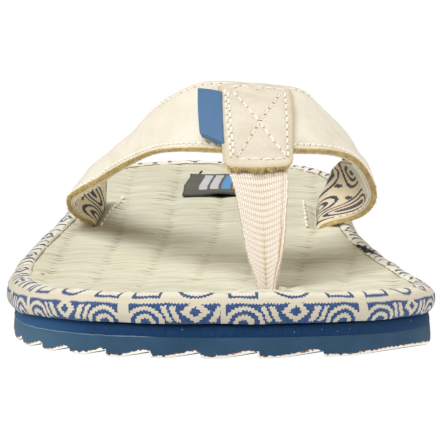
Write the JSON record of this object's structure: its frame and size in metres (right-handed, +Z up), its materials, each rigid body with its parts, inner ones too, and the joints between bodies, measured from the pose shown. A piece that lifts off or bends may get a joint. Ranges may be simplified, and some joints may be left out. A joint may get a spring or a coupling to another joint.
{
  "type": "thong sandal",
  "caption": "Right thong sandal: leather band with a tab over a folded webbing toe post, woven seagrass footbed with a printed canvas edge, foam midsole and rubber outsole with slanted grooves.",
  "frame": {"origin": "bottom centre of the bounding box, on the floor under the middle of the sole", "axes": "+Z up, -Y towards the toe, +X towards the big-toe (inner) side of the foot"},
  "size_m": [0.1036, 0.28, 0.061],
  "materials": {
    "outsole_rubber": "matte",
    "midsole_foam": "matte foam",
    "seagrass": "woven reed",
    "canvas": "printed canvas",
    "leather": "nubuck",
    "webbing": "woven webbing",
    "tag_cloth": "woven satin",
    "label_cloth": "woven satin"
  },
  "bodies": {
    "root": {"outsole": "outsole_rubber", "midsole": "midsole_foam", "footbed": "seagrass", "edge_binding": "canvas", "strap": "leather", "strap_tab": "leather", "side_tag": "tag_cloth", "toe_post": "webbing", "heel_label": "label_cloth"}
  },
  "joints": []
}
